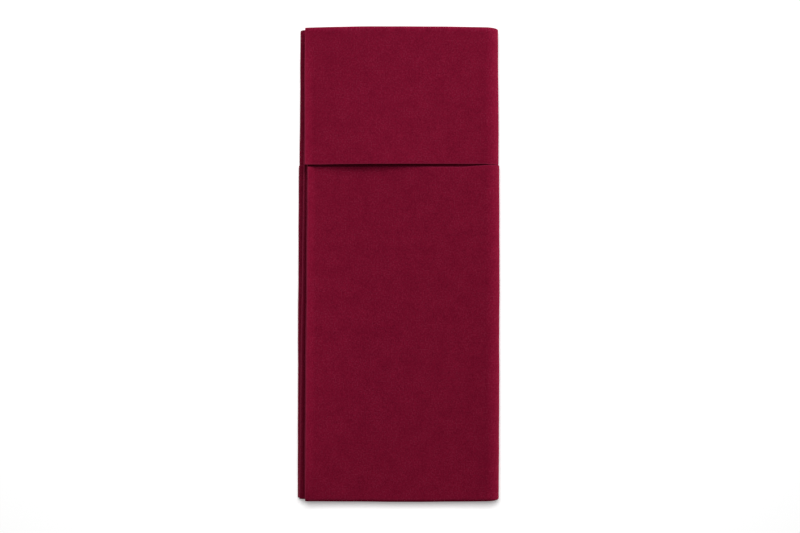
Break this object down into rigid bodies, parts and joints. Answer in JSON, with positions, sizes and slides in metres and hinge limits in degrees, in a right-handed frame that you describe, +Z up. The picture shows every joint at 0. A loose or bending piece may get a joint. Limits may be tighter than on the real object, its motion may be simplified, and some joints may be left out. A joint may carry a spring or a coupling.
{
  "type": "cutlery pocket napkin",
  "caption": "Folded nonwoven table napkin: a sheet with its ends turned in to make a flap and a cutlery pocket that meet at a slit, then halved across, and lying flat.",
  "frame": {"origin": "middle of the underside, on the surface that the napkin lies on", "axes": "+X towards the thick fold, +Y from the pocket towards the flap, +Z up, out of the face with the slit"},
  "size_m": [0.086, 0.2014, 0.014],
  "materials": {
    "airlaid": "matte soft nonwoven with a fine fibre grain, deep wine red"
  },
  "bodies": {
    "root": {"napkin": "airlaid"}
  },
  "joints": []
}
